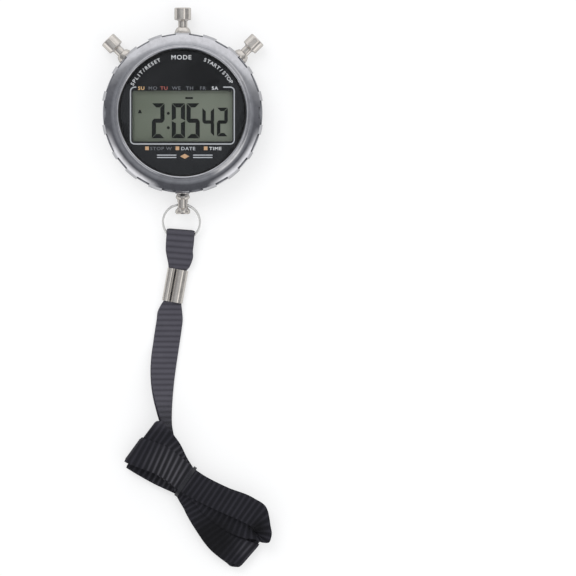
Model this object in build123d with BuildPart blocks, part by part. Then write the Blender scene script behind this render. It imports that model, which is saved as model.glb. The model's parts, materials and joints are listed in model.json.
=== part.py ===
"""Digital pocket stopwatch with three pushers, a split ring and a folded neck lanyard.

Frame: +Z leaves the display face, +Y runs to the top pusher, and the origin is the centre of
the flat back face, on which the watch rests. Lengths are millimetres. Clock angles are degrees
clockwise from the top pusher, seen from the front.
"""

from build123d import *
from math import asin, cos, radians, sin
import os

os.makedirs("parts", exist_ok=True)

# ---------------------------------------------------------------- driving dimensions
CASE_RADIUS = 30.5  # the case band stands back a little under the front shell's rim
SHELL_RADIUS = 31.0
BAND_TOP = 9.0  # joint between case band and front shell
RIM_RADIUS, RIM_HEIGHT = 3.5, 11.6  # round at the front shell's rim, and its centre's height
RIM_SLOPE, CREST_SLOPE = 40, 14  # slopes of the wider round that runs from there to the crystal ring
NOTCH_DEPTH, GROOVE_DEPTH = 1.3, 1.9  # rim notches, and the groove across the long ones
WALL = 1.5
SHELL_BORE = 28.2  # the module's room inside the front shell

WINDOW_RADIUS = 22.9
LEDGE_TOP = 14.2  # carries the dial mask and the trim ring
TRIM_RADIUS = 26.0
TRIM_BORE = 24.3
CRYSTAL_RADIUS = 23.9
CRYSTAL_TOP = 16.0

DISPLAY_Y = -1.3  # the display sits a little below the centre
DISPLAY_WIDTH, DISPLAY_HEIGHT = 38.2, 19.4  # visible window in the dial mask
LCD_WIDTH, LCD_HEIGHT = 41.0, 24.0
LCD_TOP = 13.3
GLASS_THICKNESS = 0.9
BOARD_RADIUS = 21.0
BOARD_TOP, BOARD_BOTTOM = 8.4, 7.4

PUSHER_Z = 5.6  # height of the pusher axes and of the pendant stud
PUSHER_ANGLES = {"mode": 0, "start_stop": 45.5, "split_reset": -45.5}
KNOB_RADIUS, KNOB_START, KNOB_END = 3.2, 35.7, 40.4
STEM_RADIUS = 1.75
TUBE_RADIUS, TUBE_BORE, TUBE_FLANGE = 2.38, 1.8, 3.12
SEAT = CASE_RADIUS - 0.2  # flats on the case band under the pusher and stud flanges

COVER_RADIUS, COVER_THICKNESS = 26.4, 1.2
BOSS_RADIUS, BOSS_RING = 2.5, 23.6
BOSS_ANGLES = [30, 150, 210, 330]
SCREW_RADIUS = 0.8

STUD_HOLE_Y = -35.0  # the split ring hangs in the stud's cross hole
STUD_HOLE_RADIUS = 1.1
RING_RADIUS, RING_WIRE = 7.1, 0.4
RING_DROP = 1.8  # height of the ring's far end when the lanyard lies on the table
RING_SLACK = 0.15  # the wire's middle stands this far above the hole's middle

RIBBON_WIDTH, RIBBON = 10.2, 0.7
LOOP_LEAN = 4.5  # degrees that the ring and its ribbon loop lean to the left of straight down
LOOP_START, LOOP_END = 10.0, 24.6  # the loop's fold and its entry to the crimp, from the stud's hole
CRIMP_LEAN = 10.3
CRIMP_CENTRE = (-2.95, -66.0)
CRIMP_WIDTH, CRIMP_HEIGHT, CRIMP_LENGTH, CRIMP_SHEET = 7.9, 3.8, 12.7, 0.5
STRAP_LAYERS = 1.5  # thickness of the neck strap's two runs, one on the other
TWIST_START, TWIST_RATE = -88.0, 2.3  # the strap turns on its edge from here, degrees per millimetre
HANK_HEIGHT = 9.4
WAIST_CENTRE, WAIST_TURN = (1.1, -141.0), 35  # the folded hank is tied at its waist
WAIST_WIDTH, TIE_WIDTH = 13.4, 1.3

GAP = 0.05  # clearance between neighbouring parts that are not bonded


# ---------------------------------------------------------------- helpers
def save(part, label):
    """Labels a finished piece and writes it as parts/LABEL.step."""
    part.label = label
    export_step(part, f"parts/{label}.step")


def polar(radius, angle, height=0.0):
    """The point at a clock angle and a radius from the case axis."""
    return (radius * sin(radians(angle)), radius * cos(radians(angle)), height)


def radial_axis(angle):
    """The axis of a pusher or of the stud, leaving the case at a clock angle."""
    return Axis((0, 0, PUSHER_Z), polar(1, angle))


def radial_plane(angle):
    """Profile plane of a radial turned part: x runs outward along its axis, y is its radius."""
    across = (cos(radians(angle)), -sin(radians(angle)), 0)
    return Plane(origin=(0, 0, PUSHER_Z), x_dir=polar(1, angle), z_dir=across)


def facing_plane(angle, distance):
    """Plane square to a radial axis, at a distance from the case axis."""
    return Plane(origin=polar(distance, angle, PUSHER_Z), x_dir=(0, 0, 1), z_dir=polar(1, angle))


# ---------------------------------------------------------------- case
def grip_notches():
    """(clock angle, length) of each notch in the rim: nine a side, with a long one at three o'clock."""
    short, middle, long = 5.3, 7.4, 9.4
    one_side = [(10, short), (30, short), (50, short), (67.5, middle)]
    one_side += [(112.5, middle), (130, short), (150, short), (170, short)]
    return one_side + [(-angle, length) for angle, length in one_side] + [(90, long), (-90, long)]


with BuildPart() as front_shell:
    with BuildSketch(Plane.XZ):
        with BuildLine():
            rim = (SHELL_RADIUS, RIM_HEIGHT)
            steep, shallow = radians(RIM_SLOPE), radians(CREST_SLOPE)
            shoulder = (SHELL_RADIUS - RIM_RADIUS * (1 - sin(steep)), RIM_HEIGHT + RIM_RADIUS * cos(steep))
            dome_radius = (shoulder[0] - TRIM_RADIUS) / (sin(steep) - sin(shallow))
            crest = (TRIM_RADIUS, shoulder[1] + dome_radius * (cos(shallow) - cos(steep)))
            RadiusArc(rim, shoulder, -RIM_RADIUS)
            RadiusArc(shoulder, crest, -dome_radius)
            Polyline(
                crest,
                (TRIM_RADIUS, LEDGE_TOP),
                (WINDOW_RADIUS, LEDGE_TOP),
                (WINDOW_RADIUS, LCD_TOP + 0.1),
                (SHELL_BORE, LCD_TOP + 0.1),
                (SHELL_BORE, BAND_TOP),
                (SHELL_RADIUS, BAND_TOP),
                rim,
            )
        make_face()
    revolve(axis=Axis.Z)
    with BuildSketch(Plane.XY.offset(BAND_TOP)):
        for angle in BOSS_ANGLES:
            with Locations(polar(BOSS_RING, angle)):
                Circle(BOSS_RADIUS)
    extrude(amount=LCD_TOP + 0.1 - BAND_TOP)
    with BuildSketch(Plane.XY.offset(BAND_TOP)):
        for angle, length in grip_notches():
            with PolarLocations(SHELL_RADIUS - NOTCH_DEPTH + 2, 1, start_angle=90 - angle):
                Rectangle(4, length)
        for angle in (90, -90):
            with PolarLocations(SHELL_RADIUS - GROOVE_DEPTH + 2, 1, start_angle=90 - angle):
                Rectangle(4, 4.4)
    extrude(amount=RIM_HEIGHT + RIM_RADIUS - BAND_TOP, mode=Mode.SUBTRACT)
    with Locations([polar(BOSS_RING, angle, BAND_TOP) for angle in BOSS_ANGLES]):
        Cylinder(SCREW_RADIUS, 3.4, align=(Align.CENTER, Align.CENTER, Align.MIN), mode=Mode.SUBTRACT)
save(front_shell.part, "front_shell")

with BuildPart() as case_band:
    with BuildSketch(Plane.XZ):
        with BuildLine():
            Polyline(
                (CASE_RADIUS, 3.6),
                (CASE_RADIUS, BAND_TOP - 0.15),
                (CASE_RADIUS - 0.15, BAND_TOP),
                (28.1, BAND_TOP),
                (28.1, BAND_TOP + 1.2),
                (27.2, BAND_TOP + 1.2),
                (27.2, BAND_TOP),
                (26.0, BAND_TOP),
                (26.0, BAND_TOP - 0.8),
                (CASE_RADIUS - WALL, BAND_TOP - 0.8),
                (CASE_RADIUS - WALL, 2.4),
                (24.5, 2.4),
                (24.5, COVER_THICKNESS),
                (COVER_RADIUS + 0.2, COVER_THICKNESS),
                (COVER_RADIUS + 0.2, 0.4),
                (28.0, 0.4),
            )
            RadiusArc((28.0, 0.4), (CASE_RADIUS, 3.6), -3.2)
        make_face()
    revolve(axis=Axis.Z)
    with BuildSketch(Plane.XY.offset(COVER_THICKNESS)):
        for angle in BOSS_ANGLES:
            with Locations(polar(BOSS_RING, angle)):
                Circle(BOSS_RADIUS)
    extrude(amount=BAND_TOP - COVER_THICKNESS)
    with Locations([polar(BOSS_RING, angle, COVER_THICKNESS) for angle in BOSS_ANGLES]):
        upward = (Align.CENTER, Align.CENTER, Align.MIN)
        Cylinder(SCREW_RADIUS + 0.1, BAND_TOP, align=upward, mode=Mode.SUBTRACT)
    with BuildSketch(Plane.XY.offset(COVER_THICKNESS)):
        Circle(25.7)
        Circle(24.9, mode=Mode.SUBTRACT)
    extrude(amount=0.55, mode=Mode.SUBTRACT)
    for angle in PUSHER_ANGLES.values():
        with BuildSketch(facing_plane(angle, 27)):
            Circle(TUBE_RADIUS + 0.02)
        extrude(amount=5, mode=Mode.SUBTRACT)
        with BuildSketch(facing_plane(angle, SEAT)):
            Circle(TUBE_FLANGE + 0.15)
        extrude(amount=1, mode=Mode.SUBTRACT)
    with BuildSketch(facing_plane(180, 27)):
        Circle(1.55)
    extrude(amount=5, mode=Mode.SUBTRACT)
    with BuildSketch(facing_plane(180, SEAT)):
        Circle(2.75)
    extrude(amount=1, mode=Mode.SUBTRACT)
save(case_band.part, "case_band")

with BuildPart() as back_cover:
    with BuildSketch():
        Circle(COVER_RADIUS)
    extrude(amount=COVER_THICKNESS)
    chamfer(back_cover.faces().sort_by(Axis.Z)[0].edges(), 0.3)
    with BuildSketch():
        Circle(19.4)
        Circle(18.9, mode=Mode.SUBTRACT)
    extrude(amount=0.2, mode=Mode.SUBTRACT)
    for angle in BOSS_ANGLES:
        with Locations(Location(polar(BOSS_RING, angle), (180, 0, 0))):
            CounterSinkHole(SCREW_RADIUS + 0.1, 1.6, depth=COVER_THICKNESS * 2, counter_sink_angle=90)
save(back_cover.part, "back_cover")

with BuildPart() as back_gasket:
    with BuildSketch(Plane.XY.offset(COVER_THICKNESS)):
        Circle(25.65)
        Circle(24.95, mode=Mode.SUBTRACT)
    extrude(amount=0.5)
save(back_gasket.part, "back_gasket")


def case_screw(angle):
    """One long countersunk screw through the cover and band into the front shell."""
    with BuildPart() as screw:
        with BuildSketch(Plane.XZ):
            with BuildLine():
                Polyline(
                    (0, 0.05),
                    (1.5, 0.05),
                    (SCREW_RADIUS - 0.02, 0.05 + 1.5 - SCREW_RADIUS),
                    (SCREW_RADIUS - 0.02, 11.9),
                    (0, 12.2),
                    close=True,
                )
            make_face()
        revolve(axis=Axis.Z)
        with BuildSketch():
            Rectangle(1.7, 0.4)
            Rectangle(0.4, 1.7)
        extrude(amount=0.6, mode=Mode.SUBTRACT)
    return screw.part.moved(Location(polar(BOSS_RING, angle)))


save(Compound(children=[case_screw(angle) for angle in BOSS_ANGLES]), "case_screws")

# ---------------------------------------------------------------- crystal and dial
with BuildPart() as crystal_ring:
    with BuildSketch(Plane.XZ):
        with BuildLine():
            Polyline(
                (TRIM_BORE + 0.05, 16.4),
                (TRIM_BORE, 16.2),
                (TRIM_BORE, LEDGE_TOP),
                (TRIM_RADIUS - 0.02, LEDGE_TOP),
                (TRIM_RADIUS - 0.02, 16.15),
                (25.35, 16.35),
            )
            ThreePointArc((25.35, 16.35), (24.85, 16.85), (TRIM_BORE + 0.05, 16.4))
        make_face()
    revolve(axis=Axis.Z)
save(crystal_ring.part, "crystal_ring")

with BuildPart() as crystal_gasket:
    with BuildSketch(Plane.XY.offset(LEDGE_TOP + 0.2)):
        Circle(TRIM_BORE - 0.02)
        Circle(CRYSTAL_RADIUS + 0.02, mode=Mode.SUBTRACT)
    extrude(amount=1.4)
save(crystal_gasket.part, "crystal_gasket")

with BuildPart() as crystal:
    with BuildSketch(Plane.XY.offset(LEDGE_TOP + 0.2)):
        Circle(CRYSTAL_RADIUS)
    extrude(amount=CRYSTAL_TOP - LEDGE_TOP - 0.2)
    chamfer(crystal.faces().sort_by(Axis.Z)[-1].edges(), 0.25)
save(crystal.part, "crystal")

with BuildPart() as dial_mask:
    with BuildSketch(Plane.XY.offset(LEDGE_TOP)):
        Circle(TRIM_BORE - 0.03)
        with Locations((0, DISPLAY_Y)):
            RectangleRounded(DISPLAY_WIDTH, DISPLAY_HEIGHT, 0.6, mode=Mode.SUBTRACT)
    extrude(amount=0.2)
save(dial_mask.part, "dial_mask")

# ---------------------------------------------------------------- display module
def display_sheet(label, width, height, bottom, thickness):
    """A flat rectangular layer of the display, centred on the window."""
    with BuildPart() as sheet:
        with BuildSketch(Plane.XY.offset(bottom)):
            with Locations((0, DISPLAY_Y)):
                Rectangle(width, height)
        extrude(amount=thickness)
    save(sheet.part, label)


display_sheet("lcd_front_glass", LCD_WIDTH, LCD_HEIGHT, LCD_TOP - GLASS_THICKNESS, GLASS_THICKNESS)
display_sheet("lcd_rear_glass", LCD_WIDTH, LCD_HEIGHT, LCD_TOP - 2 * GLASS_THICKNESS, GLASS_THICKNESS)
display_sheet("lcd_reflector", 38.0, 19.2, LCD_TOP - 2 * GLASS_THICKNESS - 0.2, 0.2)

POSTS = [(-9, 15.5), (9, 15.5), (-9, -17), (9, -17)]  # the board is screwed to these
with BuildPart() as module_frame:
    with BuildSketch(Plane.XY.offset(BAND_TOP + GAP)):
        Circle(26.8)
    extrude(amount=LCD_TOP - BAND_TOP - GAP)
    with BuildSketch(Plane.XY.offset(BOARD_TOP)):
        with Locations(POSTS):
            Circle(1.6)
    extrude(amount=1.0)
    with BuildSketch(Plane.XY.offset(BAND_TOP)):
        with Locations((0, DISPLAY_Y)):
            Rectangle(LCD_WIDTH + 0.4, LCD_HEIGHT + 0.4)
        for angle in BOSS_ANGLES:
            with Locations(polar(BOSS_RING, angle)):
                Circle(BOSS_RADIUS + 0.2)
    extrude(amount=LCD_TOP - BAND_TOP + 1, mode=Mode.SUBTRACT)
    with Locations([(x, y, BOARD_TOP) for x, y in POSTS]):
        Cylinder(0.5, 3.2, align=(Align.CENTER, Align.CENTER, Align.MIN), mode=Mode.SUBTRACT)
save(module_frame.part, "module_frame")

with BuildPart() as circuit_board:
    with BuildSketch(Plane.XY.offset(BOARD_BOTTOM)):
        Circle(BOARD_RADIUS)
        with Locations(POSTS):
            Circle(0.65, mode=Mode.SUBTRACT)
    extrude(amount=BOARD_TOP - BOARD_BOTTOM)
save(circuit_board.part, "circuit_board")

with BuildPart() as zebra_connectors:
    with BuildSketch(Plane.XY.offset(BOARD_TOP)):
        with Locations((0, DISPLAY_Y + 10.6), (0, DISPLAY_Y - 10.6)):
            Rectangle(32, 1.8)
    extrude(amount=LCD_TOP - 2 * GLASS_THICKNESS - BOARD_TOP)
save(zebra_connectors.part, "zebra_connectors")

with BuildPart() as chip_cover:
    with BuildSketch(Plane.XY.offset(BOARD_TOP)):
        Circle(4.5)
    extrude(amount=1.4)
    fillet(chip_cover.faces().sort_by(Axis.Z)[-1].edges(), 1.2)
save(chip_cover.part, "chip_cover")

with BuildPart() as quartz_can:
    with BuildSketch(Plane.YZ.offset(10.5)):
        with Locations((8.5, BOARD_BOTTOM - 1.02)):
            Circle(1.0)
    extrude(amount=6)
    fillet(quartz_can.faces().sort_by(Axis.X)[0].edges(), 0.3)
save(quartz_can.part, "quartz_can")


def module_screw(x, y):
    """One small screw holding the circuit board to a post of the module frame."""
    with BuildPart() as screw:
        with BuildSketch(Plane.XY.offset(BOARD_BOTTOM - 0.6)):
            Circle(1.1)
        extrude(amount=0.6)
        with BuildSketch(Plane.XY.offset(BOARD_BOTTOM)):
            Circle(0.48)
        extrude(amount=3.6)
        with BuildSketch(Plane.XY.offset(BOARD_BOTTOM - 0.6)):
            Rectangle(1.3, 0.3)
            Rectangle(0.3, 1.3)
        extrude(amount=0.35, mode=Mode.SUBTRACT)
    return screw.part.moved(Location((x, y, 0)))


save(Compound(children=[module_screw(x, y) for x, y in POSTS]), "module_screws")


def switch_blade(angle):
    """A bent spring strip under the board, which a pusher's pin presses to close its contact."""
    foot, tongue, thickness = 19.5, 22.25, 0.2
    with BuildPart() as blade:
        with BuildSketch(Plane(origin=(0, 0, 0), x_dir=(0, 1, 0), z_dir=(1, 0, 0))):
            with BuildLine():
                Polyline(
                    (foot, BOARD_BOTTOM),
                    (foot, BOARD_BOTTOM - thickness),
                    (tongue - thickness, BOARD_BOTTOM - thickness),
                    (tongue - thickness, PUSHER_Z - 1.4),
                    (tongue, PUSHER_Z - 1.4),
                    (tongue, BOARD_BOTTOM),
                    close=True,
                )
            make_face()
        extrude(amount=1.5, both=True)
    return blade.part.rotate(Axis.Z, -angle)


save(Compound(children=[switch_blade(angle) for angle in PUSHER_ANGLES.values()]), "switch_blades")

# ---------------------------------------------------------------- battery and buzzer
BATTERY_TOP, BATTERY_BOTTOM = 7.1, 4.6
with BuildPart() as battery_cell:
    with BuildSketch(Plane.XY.offset(BATTERY_BOTTOM)):
        Circle(10)
    extrude(amount=2.1)
    fillet(battery_cell.edges(), 0.25)
    with BuildSketch(Plane.XY.offset(BATTERY_BOTTOM + 2.1)):
        Circle(8.8)
    extrude(amount=BATTERY_TOP - BATTERY_BOTTOM - 2.1)
save(battery_cell.part, "battery_cell")

with BuildPart() as battery_contact:
    with BuildSketch(Plane.XY.offset(BATTERY_TOP + GAP)):
        Rectangle(12, 3)
    extrude(amount=0.2)
save(battery_contact.part, "battery_contact")

CLIP_SHEET, CLIP_SPAN = 0.3, 10.5
with BuildPart() as battery_clip:
    with BuildSketch(Plane.XZ):
        with BuildLine():
            half = [
                (CLIP_SPAN + CLIP_SHEET, BATTERY_BOTTOM - GAP - CLIP_SHEET),
                (CLIP_SPAN + CLIP_SHEET, BOARD_BOTTOM - CLIP_SHEET),
                (14, BOARD_BOTTOM - CLIP_SHEET),
                (14, BOARD_BOTTOM),
                (CLIP_SPAN, BOARD_BOTTOM),
                (CLIP_SPAN, BATTERY_BOTTOM - GAP),
            ]
            Polyline(half + [(-x, z) for x, z in reversed(half)], close=True)
        make_face()
    extrude(amount=3, both=True)
save(battery_clip.part, "battery_clip")

with BuildPart() as buzzer_plate:
    with BuildSketch(Plane.XY.offset(COVER_THICKNESS)):
        Circle(13.5)
    extrude(amount=0.2)
save(buzzer_plate.part, "buzzer_plate")

with BuildPart() as buzzer_ceramic:
    with BuildSketch(Plane.XY.offset(COVER_THICKNESS + 0.2)):
        Circle(9)
    extrude(amount=0.2)
save(buzzer_ceramic.part, "buzzer_ceramic")

BUZZER_SPRING_Y, BUZZER_SPRING_WIRE = -12.0, 0.13
with BuildPart() as buzzer_spring:
    start = COVER_THICKNESS + 0.2 + BUZZER_SPRING_WIRE + 0.02
    height = BOARD_BOTTOM - start - BUZZER_SPRING_WIRE - 0.02
    with BuildLine():
        coil = Helix(0.9, height, 0.9, center=(0, BUZZER_SPRING_Y, start))
    with BuildSketch(Plane(origin=coil @ 0, z_dir=coil % 0)):
        Circle(BUZZER_SPRING_WIRE)
    sweep(path=coil, is_frenet=True)
save(buzzer_spring.part, "buzzer_spring")


# ---------------------------------------------------------------- pushers
TUBE_INNER_END, TUBE_FLOOR, TUBE_OUTER_END = 26.2, 27.0, 32.8
STEM_SHOULDER = 30.6  # the stem narrows to its pin here, and the spring bears on this step
PIN_RADIUS, PIN_END = 0.95, 23.8


def pusher_button(angle):
    """Knob, stem and pin turned from one bar, with grooves for its seal and its clip."""
    with BuildPart() as button:
        with BuildSketch(radial_plane(angle)) as profile:
            with BuildLine():
                Polyline(
                    (PIN_END, 0),
                    (PIN_END, PIN_RADIUS - 0.2),
                    (PIN_END + 0.2, PIN_RADIUS),
                    (25.35, PIN_RADIUS),
                    (25.35, 0.6),
                    (26.1, 0.6),
                    (26.1, PIN_RADIUS),
                    (STEM_SHOULDER, PIN_RADIUS),
                    (STEM_SHOULDER, STEM_RADIUS),
                    (31.7, STEM_RADIUS),
                    (31.7, 1.3),
                    (32.3, 1.3),
                    (32.3, STEM_RADIUS),
                    (KNOB_START - 0.5, STEM_RADIUS),
                    (KNOB_START, STEM_RADIUS + 0.5),
                    (KNOB_START, KNOB_RADIUS - 0.25),
                    (KNOB_START + 0.25, KNOB_RADIUS),
                    (KNOB_END, KNOB_RADIUS),
                    (KNOB_END, 0),
                    close=True,
                )
            make_face()
            fillet(profile.vertices().group_by(Axis.X)[-1].sort_by(Axis.Y)[-1], 0.45)
        revolve(axis=radial_axis(angle))
    return button.part


def pusher_tube(angle):
    """Flanged guide tube fixed in the case band, with a floor that the return spring stands on."""
    with BuildPart() as tube:
        with BuildSketch(radial_plane(angle)):
            with BuildLine():
                Polyline(
                    (TUBE_INNER_END, PIN_RADIUS + 0.05),
                    (TUBE_INNER_END, TUBE_RADIUS),
                    (SEAT, TUBE_RADIUS),
                    (SEAT, TUBE_FLANGE - 0.1),
                    (SEAT + 0.3, TUBE_FLANGE),
                )
                ThreePointArc(
                    (SEAT + 0.3, TUBE_FLANGE),
                    (SEAT + 1.3, TUBE_FLANGE - 0.25),
                    (TUBE_OUTER_END, TUBE_FLANGE - 0.95),
                )
                Polyline(
                    (TUBE_OUTER_END, TUBE_FLANGE - 0.95),
                    (TUBE_OUTER_END, TUBE_BORE),
                    (TUBE_FLOOR, TUBE_BORE),
                    (TUBE_FLOOR, PIN_RADIUS + 0.05),
                    (TUBE_INNER_END, PIN_RADIUS + 0.05),
                )
            make_face()
        revolve(axis=radial_axis(angle))
    return tube.part


def pusher_spring(angle):
    """Return spring round the pin, between the tube's floor and the stem's step."""
    wire, radius = 0.16, 1.4
    start = TUBE_FLOOR + wire + 0.02
    length = STEM_SHOULDER - TUBE_FLOOR - 2 * wire - 0.04
    with BuildPart() as spring:
        with BuildLine():
            coil = Helix(length / 4, length, radius)
        with BuildSketch(Plane(origin=coil @ 0, z_dir=coil % 0)):
            Circle(wire)
        sweep(path=coil, is_frenet=True)
    return facing_plane(angle, start).location * spring.part


def pusher_ring(angle, inner, outer, bore, radius):
    """A flat ring on a pusher's axis: its seal or its retaining clip."""
    with BuildPart() as ring:
        with BuildSketch(facing_plane(angle, inner)):
            Circle(radius)
            Circle(bore, mode=Mode.SUBTRACT)
        extrude(amount=outer - inner)
    return ring.part


for name, angle in PUSHER_ANGLES.items():
    save(pusher_button(angle), f"{name}_pusher")
    save(pusher_tube(angle), f"{name}_guide_tube")
    save(pusher_spring(angle), f"{name}_return_spring")
    save(pusher_ring(angle, 25.45, 26.0, 0.62, 1.6), f"{name}_retaining_clip")
    save(pusher_ring(angle, 31.75, 32.25, 1.32, STEM_RADIUS + 0.03), f"{name}_seal")

# ---------------------------------------------------------------- pendant stud
with BuildPart() as pendant_stud:
    with BuildSketch(radial_plane(180)):
        with BuildLine():
            Polyline((26.2, 0), (26.2, 1.3), (26.4, 1.5), (SEAT, 1.5), (SEAT, 2.1), (31.5, 2.45))
            ThreePointArc((31.5, 2.45), (32.1, 2.68), (32.7, 2.45))
            Polyline(
                (32.7, 2.45),
                (33.1, 2.05),
                (36.3, 2.05),
                (36.9, 2.65),
                (37.3, 2.87),
                (38.1, 2.87),
                (38.6, 2.4),
                (38.6, 0),
                (26.2, 0),
            )
        make_face()
    revolve(axis=radial_axis(180))
    with BuildSketch(Plane.YZ):
        with Locations((STUD_HOLE_Y, PUSHER_Z)):
            Circle(STUD_HOLE_RADIUS)
    extrude(amount=5, both=True, mode=Mode.SUBTRACT)
save(pendant_stud.part, "pendant_stud")

with BuildPart() as pendant_nut:
    with BuildSketch(facing_plane(180, 26.8)):
        RegularPolygon(2.5, 6, major_radius=False, rotation=30)
        Circle(1.52, mode=Mode.SUBTRACT)
    extrude(amount=1.95)
save(pendant_nut.part, "pendant_nut")

# ---------------------------------------------------------------- split ring
def leaning_plane(origin, lean, fall):
    """Plane at a point of the lanyard: y runs back up towards the watch, x is to the right."""
    down = Vector(-sin(radians(lean)) * cos(fall), -cos(radians(lean)) * cos(fall), -sin(fall))
    right = Vector(cos(radians(lean)), -sin(radians(lean)), 0)
    return Plane(origin=origin, x_dir=right, z_dir=right.cross(-down))


ring_reach = 2 * RING_RADIUS - RING_SLACK  # from the stud's hole to the wire at the far end
ring_fall = asin((PUSHER_Z - RING_DROP) / ring_reach)
hole_plane = leaning_plane((0, STUD_HOLE_Y, PUSHER_Z), LOOP_LEAN, ring_fall)
ring_plane = Plane(
    origin=hole_plane.from_local_coords((0, RING_SLACK - RING_RADIUS, 0)),
    x_dir=hole_plane.x_dir,
    z_dir=hole_plane.z_dir,
)
LAYER = RING_WIRE + 0.02  # each of the ring's two turns lies this far from its middle plane
RING_ENDS, FULL_TURN = 120, 322  # the ends of the wire lie on the left, next to the cross-over

with BuildPart() as split_ring:
    with BuildLine(ring_plane) as wire:
        lower = CenterArc((0, 0, -LAYER), RING_RADIUS, RING_ENDS, FULL_TURN)
        upper = CenterArc((0, 0, LAYER), RING_RADIUS, RING_ENDS - 5, FULL_TURN)
        middle = radians(RING_ENDS + (FULL_TURN + 355) / 2)
        Spline(
            lower @ 1,
            (RING_RADIUS * cos(middle), RING_RADIUS * sin(middle), 0),
            upper @ 0,
            tangents=[lower % 1, upper % 0],
        )
    with BuildSketch(Plane(origin=lower @ 0, z_dir=lower % 0)):
        Circle(RING_WIRE)
    sweep(path=wire.wires()[0])
save(split_ring.part, "split_ring")


# ---------------------------------------------------------------- lanyard
def down_plane(origin, lean):
    """Plane square to a run of the lanyard: z runs down the run, x to the right, y up."""
    right = (cos(radians(lean)), -sin(radians(lean)), 0)
    return Plane(origin=origin, x_dir=right, z_dir=(-sin(radians(lean)), -cos(radians(lean)), 0))


crimp_lean = radians(CRIMP_LEAN)
crimp_top = (
    CRIMP_CENTRE[0] + CRIMP_LENGTH / 2 * sin(crimp_lean),
    CRIMP_CENTRE[1] + CRIMP_LENGTH / 2 * cos(crimp_lean),
    0,
)
crimp_plane = down_plane(crimp_top, CRIMP_LEAN)
SEAM = -0.9  # the crimp's rolled edges meet left of its middle
LOBE = 1.1  # their dip below the crimp's top
TAIL_WIDTH, TAIL = 4.8, 0.7  # the ribbon is gathered inside the crimp

with BuildPart() as strap_crimp:
    with BuildSketch(crimp_plane):
        side = (CRIMP_WIDTH - CRIMP_SHEET) / 2
        low, high = CRIMP_SHEET / 2, CRIMP_HEIGHT - CRIMP_SHEET / 2
        with BuildLine():
            ThreePointArc((SEAM - 0.3, high - LOBE), (-2.2, high), (-side, 1.9))
            ThreePointArc((-side, 1.9), (0.6 - side, low + 0.45), (1.6 - side, low))
            Line((1.6 - side, low), (side - 1.6, low))
            ThreePointArc((side - 1.6, low), (side - 0.6, low + 0.45), (side, 1.9))
            ThreePointArc((side, 1.9), (1.7, high), (SEAM + 0.3, high - LOBE))
        trace(line_width=CRIMP_SHEET)
    extrude(amount=CRIMP_LENGTH)
save(strap_crimp.part, "strap_crimp")


def crimp_tail(bottom, start, end):
    """The gathered end of a ribbon in the crimp, between two distances from the crimp's top."""
    with BuildPart() as tail:
        with BuildSketch(crimp_plane.offset(start)):
            with Locations((0, bottom + TAIL / 2)):
                Rectangle(TAIL_WIDTH, TAIL)
        extrude(amount=end - start)
    return tail.part


loop_right = (cos(radians(LOOP_LEAN)), -sin(radians(LOOP_LEAN)), 0)
loop_down = (-sin(radians(LOOP_LEAN)), -cos(radians(LOOP_LEAN)), 0)
loop_side = Plane(origin=(0, STUD_HOLE_Y, 0), x_dir=loop_down, z_dir=-Vector(loop_right))
LOOP_HEIGHT = 4.2
TAIL_LOW = CRIMP_SHEET + 0.1
STRAP_TAIL_LOW = TAIL_LOW + TAIL + GAP
fold = LOOP_START + LOOP_HEIGHT / 2
narrowing = LOOP_END - 4.0  # where the ribbon starts to gather towards the crimp

with BuildPart() as ring_loop:
    with BuildSketch(loop_side):
        with BuildLine():
            ThreePointArc((fold, 0), (LOOP_START, LOOP_HEIGHT / 2), (fold, LOOP_HEIGHT))
            Polyline(
                (fold, LOOP_HEIGHT),
                (LOOP_END - 6, LOOP_HEIGHT - 0.4),
                (LOOP_END, TAIL_LOW + TAIL),
                (LOOP_END, TAIL_LOW),
                (LOOP_END - 2, 0),
                (fold, 0),
            )
        make_face()
        with BuildLine():
            inside = (LOOP_START + RIBBON, LOOP_HEIGHT / 2)
            ThreePointArc((fold, RIBBON), inside, (fold, LOOP_HEIGHT - RIBBON))
            Polyline(
                (fold, LOOP_HEIGHT - RIBBON),
                (LOOP_END - 6, LOOP_HEIGHT - 0.4 - RIBBON),
                (LOOP_END - 2.5, RIBBON + 0.4),
                (LOOP_END - 2.5, RIBBON),
                (fold, RIBBON),
            )
        make_face(mode=Mode.SUBTRACT)
    extrude(amount=RIBBON_WIDTH / 2, both=True)
    with BuildSketch(Plane(origin=(0, STUD_HOLE_Y, 0), x_dir=loop_right)):
        with BuildLine():
            half = [
                (RIBBON_WIDTH / 2, 1 - LOOP_START),
                (RIBBON_WIDTH / 2, -narrowing),
                (TAIL_WIDTH / 2, -LOOP_END),
            ]
            Polyline(half + [(-x, y) for x, y in reversed(half)], close=True)
        make_face()
    extrude(amount=LOOP_HEIGHT + 1, mode=Mode.INTERSECT)
    add(crimp_tail(TAIL_LOW, -0.4, CRIMP_LENGTH - 0.4))
save(ring_loop.part, "ring_loop")

crimp_bottom = crimp_plane.from_local_coords((0, 0, CRIMP_LENGTH))
with BuildLine() as strap_run:
    Spline(
        (crimp_bottom.X, crimp_bottom.Y),
        (-5.6, -82.9),
        (-7.8, -101.0),
        (-6.6, -117.3),
        (-5.4, -124.0),
        tangents=[(-sin(crimp_lean), -cos(crimp_lean)), (0.2, -1)],
    )
centreline = strap_run.edges()[0]


def strap_plane(fraction):
    """Section plane of the neck strap, which rests its lower edge on the table as it twists."""
    point = centreline @ fraction
    along = centreline % fraction
    twist = radians(max(0, TWIST_RATE * (TWIST_START - point.Y)))
    height = (RIBBON_WIDTH * sin(twist) + STRAP_LAYERS * cos(twist)) / 2
    right = Vector(0, 0, 1).cross(along)
    across = right * cos(twist) - Vector(0, 0, 1) * sin(twist)
    return Plane(origin=(point.X, point.Y, height), x_dir=across, z_dir=along)


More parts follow.
